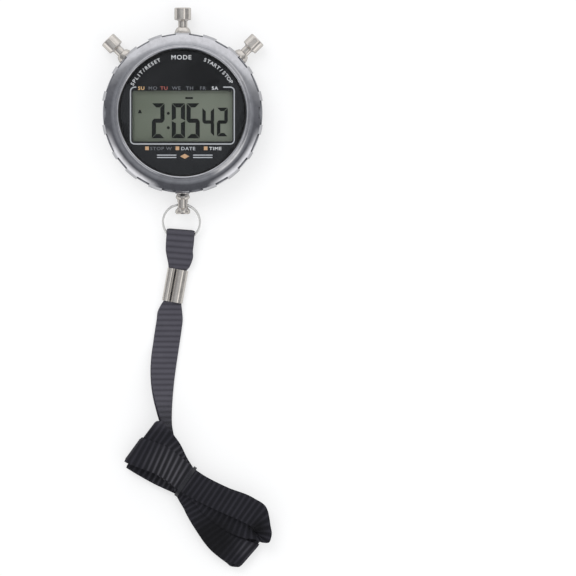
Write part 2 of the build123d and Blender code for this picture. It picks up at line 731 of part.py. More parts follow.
waist_along = Vector(cos(radians(WAIST_TURN)), -sin(radians(WAIST_TURN)), 0)
waist_plane = Plane(origin=(*WAIST_CENTRE, HANK_HEIGHT / 2), x_dir=(0, 0, 1), z_dir=waist_along)

with BuildPart() as neck_strap:
    with BuildSketch(crimp_plane.offset(CRIMP_LENGTH)):
        with Locations((0, STRAP_TAIL_LOW + TAIL / 2)):
            Rectangle(TAIL_WIDTH, TAIL)
    with BuildSketch(strap_plane(0.1)):
        Rectangle(RIBBON_WIDTH, STRAP_LAYERS)
    loft(ruled=True)
    for step in range(1, 10):
        with BuildSketch(strap_plane(step / 10)):
            Rectangle(RIBBON_WIDTH, STRAP_LAYERS)
    loft(ruled=True)
    with BuildSketch() as hank_outline:
        with BuildLine():
            Polyline(
                (-9.8, -118.8),
                (-22.0, -133.7),
                (-2.9, -146.7),
                (8.6, -165.0),
                (17.0, -173.9),
                (23.5, -173.9),
                (33.8, -162.0),
                (31.5, -150.9),
                (5.1, -135.2),
                (-4.6, -119.6),
                close=True,
            )
        make_face()
        fillet(hank_outline.vertices(), 1.5)
    extrude(amount=HANK_HEIGHT)
    add(crimp_tail(STRAP_TAIL_LOW, 0.4, CRIMP_LENGTH + 0.2))
    with BuildSketch(waist_plane.offset(-TIE_WIDTH / 2 - GAP)):
        Rectangle(30, 30)
        RectangleRounded(HANK_HEIGHT - 0.7, WAIST_WIDTH - 0.7, 2.6, mode=Mode.SUBTRACT)
    extrude(amount=TIE_WIDTH + 2 * GAP, mode=Mode.SUBTRACT)
save(neck_strap.part, "neck_strap")

with BuildPart() as hank_tie:
    with BuildSketch(waist_plane.offset(-TIE_WIDTH / 2)):
        RectangleRounded(HANK_HEIGHT, WAIST_WIDTH, 2.95)
        RectangleRounded(HANK_HEIGHT - 0.6, WAIST_WIDTH - 0.6, 2.65, mode=Mode.SUBTRACT)
    extrude(amount=TIE_WIDTH)
save(hank_tie.part, "hank_tie")
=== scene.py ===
import json
import math

import bmesh
import bpy
import numpy as np
from mathutils import Matrix, Vector

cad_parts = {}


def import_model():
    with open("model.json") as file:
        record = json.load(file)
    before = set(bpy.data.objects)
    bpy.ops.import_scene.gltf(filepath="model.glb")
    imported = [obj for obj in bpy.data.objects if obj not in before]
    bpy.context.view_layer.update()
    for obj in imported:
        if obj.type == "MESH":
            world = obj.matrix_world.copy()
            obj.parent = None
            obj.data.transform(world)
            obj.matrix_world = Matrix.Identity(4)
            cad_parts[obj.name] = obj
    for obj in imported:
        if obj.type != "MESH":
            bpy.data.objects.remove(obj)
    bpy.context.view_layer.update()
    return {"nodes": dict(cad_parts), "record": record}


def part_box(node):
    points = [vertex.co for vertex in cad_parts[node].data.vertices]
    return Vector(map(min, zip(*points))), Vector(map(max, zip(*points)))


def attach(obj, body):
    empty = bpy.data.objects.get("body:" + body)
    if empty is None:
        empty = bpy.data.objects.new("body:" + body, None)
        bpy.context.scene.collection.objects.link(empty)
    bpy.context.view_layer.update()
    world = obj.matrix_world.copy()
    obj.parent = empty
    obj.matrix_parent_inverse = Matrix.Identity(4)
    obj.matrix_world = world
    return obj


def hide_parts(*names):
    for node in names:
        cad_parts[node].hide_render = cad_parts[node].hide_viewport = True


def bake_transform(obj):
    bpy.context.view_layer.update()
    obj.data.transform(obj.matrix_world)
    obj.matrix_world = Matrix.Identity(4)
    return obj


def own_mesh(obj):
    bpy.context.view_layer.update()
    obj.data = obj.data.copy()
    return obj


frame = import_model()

MM = 0.001


# ---------------------------------------------------------------- node graphs
class Graph:
    """Adds and links shader nodes. An input that is a socket is linked, and any other is a value."""

    def __init__(self, tree):
        self.tree = tree

    def add(self, kind, inputs=None, **settings):
        node = self.tree.nodes.new(kind)
        for key, value in settings.items():
            setattr(node, key, value)
        for name, value in (inputs or {}).items():
            if isinstance(value, bpy.types.NodeSocket):
                self.tree.links.new(value, node.inputs[name])
            else:
                node.inputs[name].default_value = value
        return node

    def place(self, coordinates="Object"):
        """Coordinates in millimetres in the part's own frame, or from a piece's UV map."""
        source = self.add("ShaderNodeTexCoord").outputs[coordinates]
        return self.add("ShaderNodeVectorMath", {0: source, "Scale": 1000.0}, operation="SCALE").outputs[0]

    def stretch(self, vector, scale):
        """The vector with each coordinate scaled by its own factor."""
        return self.add("ShaderNodeVectorMath", {0: vector, 1: scale}, operation="MULTIPLY").outputs[0]

    def noise(self, vector, scale, detail=3.0, roughness=0.5):
        """Smooth noise between 0 and 1. scale is in cells per millimetre."""
        values = {"Vector": vector, "Scale": scale, "Detail": detail, "Roughness": roughness}
        return self.add("ShaderNodeTexNoise", values).outputs["Fac"]

    def wave(self, vector, scale, distortion):
        """Bands across the x axis."""
        values = {"Vector": vector, "Scale": scale, "Distortion": distortion, "Detail": 1.0}
        return self.add("ShaderNodeTexWave", values, bands_direction="X").outputs["Fac"]

    def math(self, operation, first, second=0.0, clamp=False):
        values = {0: first, 1: second}
        return self.add("ShaderNodeMath", values, operation=operation, use_clamp=clamp).outputs[0]

    def product(self, first, second):
        return self.math("MULTIPLY", first, second)

    def total(self, *terms):
        """The sum of terms, each a socket or a pair of a socket and its weight."""
        weighted = [self.product(*term) if isinstance(term, tuple) else term for term in terms]
        result = weighted[0]
        for term in weighted[1:]:
            result = self.math("ADD", result, term)
        return result

    def axis(self, vector, index):
        """One coordinate of a vector: 0 is x, 1 is y, 2 is z."""
        return self.add("ShaderNodeSeparateXYZ", {0: vector}).outputs[index]

    def spread(self, value, low, high, start=0.0, end=1.0):
        """Maps value, from between start and end, to between low and high."""
        values = {"Value": value, "From Min": start, "From Max": end, "To Min": low, "To Max": high}
        return self.add("ShaderNodeMapRange", values).outputs["Result"]

    def colours(self, value, stops):
        """A colour ramp. Each stop is (position, colour)."""
        ramp = self.add("ShaderNodeValToRGB", {"Fac": value})
        elements = ramp.color_ramp.elements
        while len(elements) < len(stops):
            elements.new(0.5)
        for element, (position, colour) in zip(elements, stops):
            element.position = position
            element.color = (*colour, 1.0)
        return ramp.outputs["Color"]

    def mix(self, factor, first, second):
        """Mixes two colours, which are the sockets 6 and 7 of the node."""
        values = {"Factor": factor, 6: first, 7: second}
        return self.add("ShaderNodeMix", values, data_type="RGBA").outputs[2]

    def bump(self, height, strength, distance):
        """A bumped normal. distance is the depth of the relief in millimetres."""
        values = {"Height": height, "Strength": strength, "Distance": distance * MM}
        return self.add("ShaderNodeBump", values).outputs["Normal"]


def darker(colour, factor):
    """A colour with each channel scaled by a factor."""
    return tuple(factor * channel for channel in colour)


def surface(name, values):
    """A material with a Principled shader. values is a function from its graph to the shader's inputs."""
    material = bpy.data.materials.new(name)
    material.use_nodes = True
    graph = Graph(material.node_tree)
    shader = material.node_tree.nodes["Principled BSDF"]
    for key, value in values(graph).items():
        if isinstance(value, bpy.types.NodeSocket):
            material.node_tree.links.new(value, shader.inputs[key])
        else:
            shader.inputs[key].default_value = value
    return material


# ---------------------------------------------------------------- materials
# Painted shade: the grey that plated metal is given in its recesses.
RECESS_PAINTED_SHADE = (0.12, 0.12, 0.13, 1.0)


def polished_metal(name, colour, smooth, rough, metal=1.0, recess=1.6):
    """Plated metal. Handling marks change its gloss, and recesses within recess millimetres get painted
    shade, a grey base colour wherever ambient occlusion finds them.

    smooth and rough are its roughness where it is clean and where it is worn.
    """

    def values(g):
        where = g.place()
        marks = g.noise(where, 0.35, 4.0, 0.65)
        scratches = g.noise(g.stretch(where, (0.6, 5.0, 2.0)), 1.2, 5.0, 0.7)
        plating = g.colours(marks, [(0.3, darker(colour, 0.86)), (0.6, colour)])
        # Painted shade: ambient occlusion turns the base colour grey in recesses and notches.
        open_sky = g.add("ShaderNodeAmbientOcclusion", {"Distance": recess * MM}, samples=8).outputs["AO"]
        unshaded = g.spread(open_sky, 0.0, 1.0, 0.35, 0.85)
        return {
            "Base Color": g.mix(unshaded, RECESS_PAINTED_SHADE, plating),
            "Metallic": metal,
            "Roughness": g.spread(g.product(marks, scratches), smooth, rough, 0.12, 0.42),
            "Normal": g.bump(g.noise(where, 2.5, 2.0), 0.02, 0.05),
        }

    return surface(name, values)


def brushed_steel(name, colour):
    """Steel with fine circular brushing about the case axis."""

    def values(g):
        where = g.place()
        flat = g.stretch(where, (1.0, 1.0, 0.0))
        radius = g.add("ShaderNodeVectorMath", {0: flat}, operation="LENGTH").outputs["Value"]
        rings = g.add("ShaderNodeTexNoise", {"W": radius, "Scale": 9.0, "Detail": 4.0}, noise_dimensions="1D")
        lines = rings.outputs["Fac"]
        marks = g.noise(where, 0.3, 3.0)
        return {
            "Base Color": g.colours(lines, [(0.3, darker(colour, 0.8)), (0.7, colour)]),
            "Metallic": 1.0,
            "Roughness": g.spread(g.product(lines, marks), 0.22, 0.42, 0.1, 0.45),
            "Normal": g.bump(lines, 0.12, 0.04),
        }

    return surface(name, values)


def moulded_plastic(name, colour, roughness, speckle=0.1, bumps=0.15):
    """Moulded plastic, rubber or resin with a fine grain.

    speckle is how much its tone varies, and bumps the strength of its grain.
    """

    def values(g):
        where = g.place()
        tone = g.noise(where, 0.25, 3.0)
        grain = g.noise(where, 6.0, 2.0)
        light = tuple(min(1.0, c * (1 + speckle) + 0.004) for c in colour)
        return {
            "Base Color": g.colours(tone, [(0.35, colour), (0.7, light)]),
            "Roughness": g.spread(grain, roughness * 0.85, min(1.0, roughness * 1.15), 0.3, 0.7),
            "Normal": g.bump(grain, bumps, 0.03),
        }

    return surface(name, values)


def circuit_board(name):
    """Solder mask over copper tracks that run in straight stretches."""

    def values(g):
        where = g.place()
        tracks = g.add("ShaderNodeTexBrick", {"Vector": where, "Scale": 0.45, "Mortar Size": 0.06})
        copper = tracks.outputs["Fac"]
        return {
            "Base Color": g.mix(copper, (0.010, 0.085, 0.035, 1.0), (0.045, 0.20, 0.07, 1.0)),
            "Roughness": g.spread(g.noise(where, 3.0), 0.25, 0.4),
            "Normal": g.bump(copper, 0.4, 0.05),
        }

    return surface(name, values)


def clear_sheet(name, tint, gloss):
    """Clear glass as a thin sheet: what lies below shows through under a Fresnel reflection."""
    material = bpy.data.materials.new(name)
    material.use_nodes = True
    tree = material.node_tree
    tree.nodes.remove(tree.nodes["Principled BSDF"])
    g = Graph(tree)
    smears = g.noise(g.place(), 0.12, 4.0, 0.6)
    through = g.add("ShaderNodeBsdfTransparent", {"Color": (*tint, 1.0)}).outputs[0]
    sheen = g.add("ShaderNodeBsdfGlossy", {"Roughness": g.spread(smears, 0.01, 0.06, 0.35, 0.7)}).outputs[0]
    edge_on = g.add("ShaderNodeFresnel", {"IOR": 1.5}).outputs[0]
    outer_side = g.math("SUBTRACT", 1.0, g.add("ShaderNodeNewGeometry").outputs["Backfacing"])
    amount = g.math("MULTIPLY", g.product(edge_on, outer_side), gloss, clamp=True)
    mixed = g.add("ShaderNodeMixShader", {"Fac": amount, 1: through, 2: sheen}).outputs[0]
    tree.links.new(mixed, tree.nodes["Material Output"].inputs["Surface"])
    return material


def display_backing(name):
    """The grey-green polariser and reflector that a liquid crystal display shows between its segments."""

    def values(g):
        where = g.place()
        cloud = g.noise(where, 0.05, 2.0)
        speckle = g.noise(where, 9.0, 2.0, 0.8)
        lit_side = g.spread(g.axis(where, 0), 0.3, 0.7, -18.0, 18.0)
        shade = g.total((cloud, 0.4), (speckle, 0.2), (lit_side, 0.4))
        return {
            "Base Color": g.colours(shade, [(0.35, (0.160, 0.172, 0.138)), (0.65, (0.240, 0.248, 0.214))]),
            "Roughness": 0.5,
            "Specular IOR Level": 0.25,
        }

    return surface(name, values)


def display_segment(name):
    """The near black of a liquid crystal segment that is switched on."""

    def values(g):
        shade = g.noise(g.place(), 0.18, 2.0)
        return {
            "Base Color": g.colours(shade, [(0.35, (0.004, 0.005, 0.004)), (0.75, (0.012, 0.012, 0.014))]),
            "Roughness": 0.55,
            "Specular IOR Level": 0.1,
        }

    return surface(name, values)


def ink(name, colour):
    """Screen-printed ink of slightly uneven coverage."""

    def values(g):
        where = g.place()
        cover = g.noise(where, 4.0, 3.0)
        return {
            "Base Color": g.colours(cover, [(0.3, darker(colour, 0.8)), (0.6, colour)]),
            "Roughness": 0.5,
            "Normal": g.bump(cover, 0.1, 0.02),
        }

    return surface(name, values)


def ribbon_fabric(name):
    """Black grosgrain. Its UV map is in metres, u across the ribbon and v along it.

    Light and shade are painted in: the hanging strap is painted lighter than the folded hank, the top band by
    the waist and the right end get painted light, and the hollows of the lower fan and the cup mouth get
    painted shade.
    """
    strap_end, hank_start = -110.0, -122.0

    def values(g):
        where = g.place("UV")
        spot = g.place()
        phase = g.product(g.axis(where, 1), math.pi / RIB_PITCH)
        rib = g.math("ABSOLUTE", g.math("SINE", phase))
        fuzz = g.noise(where, 5.0, 4.0, 0.75)
        weave = g.total((g.wave(where, 1.55, 0.6), 0.5), (fuzz, 0.5))
        uneven = g.total((weave, 0.3), (g.noise(where, 0.12, 3.0), 0.3))
        strap_rib_tone = g.total((rib, 0.5), uneven)
        crests = g.total((g.math("POWER", rib, 4.0), 0.55), uneven)
        # Painted light: the strap's ribs are given a paler tone than the hank's.
        pale = g.colours(strap_rib_tone, [(0.25, (0.042, 0.040, 0.052)), (0.85, (0.088, 0.084, 0.104))])
        # The hank's ribs as they look in shade (dark) and in painted light (bright).
        dark = g.colours(crests, [(0.30, (0.008, 0.008, 0.012)), (0.95, (0.025, 0.024, 0.033))])
        bright = g.colours(crests, [(0.30, (0.010, 0.010, 0.013)), (0.95, (0.085, 0.082, 0.095))])

        def near(place, inner, outer):
            """1 within inner millimetres of a place in the hank, and 0 beyond outer."""
            ends = {0: spot, 1: tuple(hank_point(*place))}
            reach = g.add("ShaderNodeVectorMath", ends, operation="DISTANCE").outputs["Value"]
            return g.spread(reach, 1.0, 0.0, inner, outer)

        # Painted light: the ribs of the top band by the waist and of the right end are painted lighter.
        top_band, right_end = near((-8, 0, 9.0), 4.0, 11.0), near((34.0, -8, 4.5), 1.5, 5.0)
        lit = g.math("MAXIMUM", top_band, g.product(right_end, 0.5))
        # Painted shade: the hollows of the lower fan and of the cup mouth are painted near black.
        lower_fan, cup_mouth = near((21, -12, 5.5), 5.0, 12.0), near((32.6, 1.6, 7.0), 1.5, 5.0)
        deep_shade = g.product(g.math("MAXIMUM", lower_fan, cup_mouth), 0.8)
        folded = g.mix(deep_shade, g.mix(lit, dark, bright), (0.003, 0.003, 0.004, 1.0))
        # Painted light and shade: the hanging strap is painted lighter than the folded hank below it.
        in_hank = g.spread(g.axis(spot, 1), 0.0, 1.0, strap_end, hank_start)
        return {
            "Base Color": g.mix(in_hank, pale, folded),
            "Roughness": g.spread(fuzz, 0.62, 0.82),
            "Specular IOR Level": 0.3,
            "Sheen Weight": 0.06,
            "Sheen Roughness": 0.4,
            "Sheen Tint": (0.75, 0.74, 0.82, 1.0),
            "Normal": g.bump(weave, 0.7, 0.07),
        }

    return surface(name, values)


def paint_frame_nodes():
    """Gives every CAD node the material of its slot in the record. Returns the materials by slot."""
    finishes = {
        "chrome_case": polished_metal("case_chrome", (0.80, 0.80, 0.83), 0.03, 0.12, recess=2.0),
        "nickel": polished_metal("satin_nickel", (0.90, 0.85, 0.79), 0.10, 0.24, 0.82),
        "steel": brushed_steel("brushed_steel", (0.62, 0.62, 0.63)),
        "spring_steel": polished_metal("spring_steel", (0.50, 0.50, 0.52), 0.2, 0.35),
        "brass": polished_metal("brass", (0.80, 0.62, 0.30), 0.15, 0.35),
        "crystal_clear": clear_sheet("crystal_clear", (0.97, 0.98, 0.98), 1.0),
        "display_glass": clear_sheet("display_front_glass", (0.96, 0.97, 0.95), 0.2),
        "reflector_foil": moulded_plastic("reflector_foil", (0.22, 0.25, 0.19), 0.4),
        "dial_black": moulded_plastic("dial_black", (0.0065, 0.0068, 0.0085), 0.22, speckle=0.0, bumps=0.02),
        "frame_white": moulded_plastic("frame_white", (0.62, 0.62, 0.59), 0.5),
        "board_green": circuit_board("board_green"),
        "epoxy_black": moulded_plastic("epoxy_black", (0.012, 0.012, 0.012), 0.25),
        "rubber_black": moulded_plastic("rubber_black", (0.015, 0.015, 0.015), 0.75),
        "rubber_grey": moulded_plastic("rubber_grey", (0.16, 0.16, 0.17), 0.7),
        "ceramic_white": moulded_plastic("silvered_ceramic", (0.70, 0.68, 0.62), 0.35),
        "ribbon_black": ribbon_fabric("ribbon_black"),
        "tie_black": moulded_plastic("tie_black", (0.016, 0.016, 0.020), 0.3),
    }
    for part in frame["record"]["subparts"]:
        material = finishes[part["material_slot"]]
        mesh = frame["nodes"][part["node"]].data
        mesh.materials.clear()
        mesh.materials.append(material)
    special = {
        "lcd_rear_glass": display_backing("display_backing"),
        "split_ring": polished_metal("split_ring_nickel", (0.93, 0.92, 0.90), 0.12, 0.28, 0.55),
    }
    for node, material in special.items():
        frame["nodes"][node].data.materials[0] = material
    return finishes


# ---------------------------------------------------------------- mesh helpers
def scene_object(name, data):
    """A new object in the scene with a mesh, curve, lamp or camera as its data."""
    thing = bpy.data.objects.new(name, data)
    bpy.context.scene.collection.objects.link(thing)
    return thing


def finished(name, mesh, material):
    """A mesh as a piece of the object, with its material."""
    thing = scene_object(name, mesh)
    mesh.materials.clear()
    mesh.materials.append(material)
    return thing


def piece(name, mesh, material, body):
    """A finished piece that rides on a CAD body."""
    thing = finished(name, mesh, material)
    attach(thing, body)
    return thing


def mesh_from(bm, name):
    """Turns a bmesh into a new mesh and frees it."""
    mesh = bpy.data.meshes.new(name)
    bm.to_mesh(mesh)
    bm.free()
    return mesh


def prism(bm, outline, low, high):
    """A flat solid over an outline of (x, y) points, between two heights, all in millimetres."""
    bottom = [bm.verts.new((x * MM, y * MM, low * MM)) for x, y in outline]
    top = [bm.verts.new((x * MM, y * MM, high * MM)) for x, y in outline]
    bm.faces.new(top)
    bm.faces.new(bottom[::-1])
    for i in range(len(outline)):
        j = (i + 1) % len(outline)
        bm.faces.new((bottom[i], bottom[j], top[j], top[i]))


def outline_piece(name, outlines, low, high, material):
    """One piece of the watch made of several flat solids."""
    bm = bmesh.new()
    for outline in outlines:
        prism(bm, outline, low, high)
    bmesh.ops.recalc_face_normals(bm, faces=bm.faces)
    return piece(name, mesh_from(bm, name), material, "watch")


def stroke(path, width):
    """The outline of a line of even width along a path of (x, y) points."""
    points = [Vector((x, y)) for x, y in path]
    left, right = [], []
    for i, point in enumerate(points):
        before = points[max(i - 1, 0)]
        after = points[min(i + 1, len(points) - 1)]
        along = (after - before).normalized()
        side = Vector((-along.y, along.x)) * width / 2
        left.append(tuple(point + side))
        right.append(tuple(point - side))
    return left + right[::-1]


def corner(centre, radius, start, end, steps=8):
    """Points of an arc about a centre, between two angles in degrees."""
    angles = [math.radians(start + (end - start) * i / steps) for i in range(steps + 1)]
    return [(centre[0] + radius * math.cos(a), centre[1] + radius * math.sin(a)) for a in angles]


# ---------------------------------------------------------------- return springs
def return_springs(steel):
    """The pushers' coil springs, as pieces copied from the CAD springs, which are hidden."""
    for button in ("mode", "start_stop", "split_reset"):
        solid = frame["nodes"][button + "_return_spring"]
        mesh = solid.data.copy()
        mesh.transform(solid.matrix_world)
        coil = piece(button + "_return_coil", mesh, steel, "watch")
        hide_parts(solid.name)
        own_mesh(coil)


# ---------------------------------------------------------------- dial print
INK_LIFT = 0.012  # height of the print's middle above the dial
INK_HALF_THICKNESS = 0.008
CAP_HEIGHT_OF_FONT = 0.73  # as a share of the font's size
LETTER_WEIGHT = 0.03
ARC_LETTER_WIDTH = 1.1
DIAMOND_CENTRE = (0.9, -16.65)


def lettering(text, height, widen):
    """A mesh of plain capital letters of a cap height in millimetres, centred on the origin."""
    curve = bpy.data.curves.new("letters", "FONT")
    curve.body = text
    curve.align_x = "CENTER"
    curve.size = height / CAP_HEIGHT_OF_FONT
    curve.offset = LETTER_WEIGHT
    curve.resolution_u = 4
    curve.extrude = INK_HALF_THICKNESS
    curve.space_character = 1.14
    thing = scene_object("letters", curve)
    bpy.context.view_layer.update()
    mesh = bpy.data.meshes.new_from_object(thing.evaluated_get(bpy.context.evaluated_depsgraph_get()))
    bpy.data.objects.remove(thing)
    mesh.transform(Matrix.Diagonal((widen, 1, 1, 1)) @ Matrix.Translation((0, -height / 2, 0)))
    return mesh


def print_words(name, words, level, material):
    """Prints words. Each is (text, cap height, place, turn in degrees, widening)."""
    bm = bmesh.new()
    for text, height, (x, y), turn, widen in words:
        mesh = lettering(text, height, widen)
        spot = Matrix.Translation((x, y, level)) @ Matrix.Rotation(math.radians(turn), 4, "Z")
        mesh.transform(Matrix.Scale(MM, 4) @ spot)
        bm.from_mesh(mesh)
        bpy.data.meshes.remove(mesh)
    piece(name, mesh_from(bm, name), material, "watch")


def arc_words(text, start, end):
    """The letters of a label, one by one along the dial's edge between two clock angles."""
    radius, height = 22.0, 1.4
    words = []
    for i, letter in enumerate(text):
        angle = start + (end - start) * (i + 0.5) / len(text)
        place = (radius * math.sin(math.radians(angle)), radius * math.cos(math.radians(angle)))
        words.append((letter, height, place, -angle, ARC_LETTER_WIDTH))
    return words


def window_frame():
    """The path of the line round the display, open above it where the weekdays stand."""
    half_x, top, bottom, bend = 19.8, 9.75, -11.95, 1.6
    path = [(15.6, top)] + corner((half_x - bend, top - bend), bend, 90, 0)
    path += corner((half_x - bend, bottom + bend), bend, 0, -90)
    path += corner((bend - half_x, bottom + bend), bend, -90, -180)
    return path + corner((bend - half_x, top - bend), bend, 180, 90) + [(-17.6, top)]


def function_marks():
    """Outlines of the squares in front of the functions and of the diamond below them."""
    half, row = 0.7, -13.6
    ends = ((-half, row - half), (half, row - half), (half, row + half), (-half, row + half))
    marks = [[(x + dx, y) for dx, y in ends] for x in (-13.5, -1.9, 8.9)]
    x, y = DIAMOND_CENTRE
    return marks + [[(x - 1.75, y), (x, y - 0.95), (x + 1.75, y), (x, y + 0.95)]]


def diamond_bars():
    """Outlines of the two plain bars on each side of the diamond."""
    x, y = DIAMOND_CENTRE
    bars = []
    for side in (-1, 1):
        for row in (y - 0.45, y + 0.45):
            bars.append(stroke([(x + side * 3.2, row), (x + side * 10.6, row)], 0.38))
    return bars


def dial_print():
    """Function labels, weekday row, window frame and marks, printed under the crystal."""
    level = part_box("dial_mask")[1].z / MM + INK_LIFT
    white = ink("ink_white", (0.72, 0.72, 0.74))
    grey = ink("ink_grey", (0.13, 0.135, 0.15))
    silver = ink("ink_silver", (0.50, 0.51, 0.54))
    tan = ink("ink_tan", (0.60, 0.36, 0.20))
    orange = ink("ink_orange", (0.80, 0.50, 0.24))
    red = ink("ink_red", (0.42, 0.10, 0.08))

    labels = [("MODE", 1.7, (-0.45, 21.2), 0, ARC_LETTER_WIDTH)]
    labels += arc_words("START/STOP", 21.5, 59.5)
    labels += arc_words("SPLIT/RESET", -62, -22.5)
    print_words("label_print", labels, level, white)

    days = {"SU": orange, "MO": grey, "TU": red, "WE": grey, "TH": grey, "FR": grey, "SA": white}
    for x, (day, colour) in zip((-15.7, -11.3, -7.0, -2.3, 2.8, 7.8, 12.4), days.items()):
        print_words("day_print_" + day.lower(), [(day, 1.3, (x, 9.4), 0, 1.15)], level, colour)

    for text, x, colour in (("STOP W", -8.2, grey), ("DATE", 2.2, silver), ("TIME", 12.6, white)):
        name = "function_print_" + text.split()[0].lower()
        print_words(name, [(text, 1.25, (x, -13.65), 0, 1.18)], level, colour)

    low, high = level - INK_HALF_THICKNESS, level + INK_HALF_THICKNESS
    outline_piece("window_line", [stroke(window_frame(), 0.45)], low, high, silver)
    outline_piece("tan_marks", function_marks(), low, high, tan)
    outline_piece("side_bars", diamond_bars(), low, high, silver)


# ---------------------------------------------------------------- display segments
SEGMENTS = {"0": "abcdef", "2": "abged", "4": "fgbc", "5": "afgcd"}
SEGMENT_GAP = 0.12


def digit(character, left, right, bottom, top, bar):
    """Outlines of the lit segments of one digit, each bar wide and with mitred ends."""
    gap = SEGMENT_GAP
    middle = (top + bottom) / 2

    def flat(y, side):
        """A level segment. side is 1 where its long edge is the upper one, -1 the lower, 0 the middle."""
        x0, x1 = left + gap, right - gap
        if side == 0:
            half = bar / 2
            lower = [(x0 + half, y - half), (x1 - half, y - half), (x1, y)]
            return lower + [(x1 - half, y + half), (x0 + half, y + half), (x0, y)]
        return [(x0, y), (x1, y), (x1 - bar, y - side * bar), (x0 + bar, y - side * bar)]

    def upright(x, side, y0, y1, outer0, outer1):
        """A vertical segment. Its ends are mitred fully at a corner and by half at the middle."""
        inner = x - side * bar
        return [(x, y0), (inner, y0 + outer0 * bar), (inner, y1 - outer1 * bar), (x, y1)]

    shapes = {
        "a": flat(top, 1),
        "d": flat(bottom, -1),
        "g": flat(middle, 0),
        "b": upright(right, 1, middle + gap, top - gap, 0.5, 1),
        "f": upright(left, -1, middle + gap, top - gap, 0.5, 1),
        "c": upright(right, 1, bottom + gap, middle - gap, 1, 0.5),
        "e": upright(left, -1, bottom + gap, middle - gap, 1, 0.5),
    }
    return [shapes[name] for name in SEGMENTS[character]]


def display_digits():
    """The elapsed time between the display's two sheets of glass."""
    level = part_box("lcd_front_glass")[0].z / MM + 0.03
    large, small = (-9.7, 3.65, 1.6), (-9.0, 1.95, 1.3)  # bottom, top and width of the bars
    shapes = []
    for character, left, right in (("2", -11.7, -6.85), ("0", -4.1, 1.0), ("5", 1.55, 6.6)):
        shapes += digit(character, left, right, *large)
    for character, left, right in (("4", 7.6, 12.1), ("2", 13.15, 17.3)):
        shapes += digit(character, left, right, *small)
    colon = [corner((-5.4, y), 0.58, 0, 330, 11) for y in (-0.2, -5.7)]
    dash = [(1.1, 5.25), (4.0, 5.25), (4.0, 6.0), (1.1, 6.0)]
    arrow = [(-17.0, -0.2), (-15.5, -0.2), (-15.95, 1.1), (-16.55, 1.1)]
    shapes += colon + [dash, arrow]
    dark = display_segment("segment_dark")
    outline_piece("display_segments", shapes, level, level + 0.02, dark)


# ---------------------------------------------------------------- ribbon
RIB_PITCH = 2.1
RIB_DEPTH = 0.34
RIBBON_THICKNESS = 0.40
EDGE_ROUNDING = 0.03  # share of the half width over which each edge is rounded
THINNEST = 0.03  # half the thickness left at the ribbon's very edge
HALF_WIDTH = 5.1
LAYER_GAP = 0.37  # how far each of the strap's two layers lies from their middle
STRAP_HALF_THICKNESS = 0.75
LAYERS = 12
LAYER_PITCH = 0.70
LOWEST_LAYER = 0.62
STEP = 0.21  # length of a mesh face along the ribbon
LANES = np.array([-1, -0.985, -0.93, -0.87, -0.8, -0.5, -0.2, 0.2, 0.5, 0.8, 0.87, 0.93, 0.985, 1])
SELVAGE_START, SELVAGE_BLEND, SELVAGE_DROP = 0.90, 0.06, 0.35
WEST = np.array([-1.0, 0, 0])
UP = np.array([0, 0, 1.0])


def edge_curve(p, lengths, steps):
    """A smooth curve through the points p, with lengths[i] from p[i] to p[i + 1], cut in steps[i]."""
    slopes = (p[1:] - p[:-1]) / lengths[:, None]
    before, after = lengths[:-1, None], lengths[1:, None]
    inner = (after * slopes[:-1] + before * slopes[1:]) / (before + after)
    tangents = np.vstack([slopes[:1], inner, slopes[-1:]])
    result = []
    for i, count in enumerate(steps):
        t = (np.arange(count) / count)[:, None]
        reach = lengths[i]
        result.append(
            (2 * t**3 - 3 * t**2 + 1) * p[i]
            + (t**3 - 2 * t**2 + t) * reach * tangents[i]
            + (3 * t**2 - 2 * t**3) * p[i + 1]
            + (t**3 - t**2) * reach * tangents[i + 1]
        )
    result.append(p[-1:])
    return np.vstack(result)


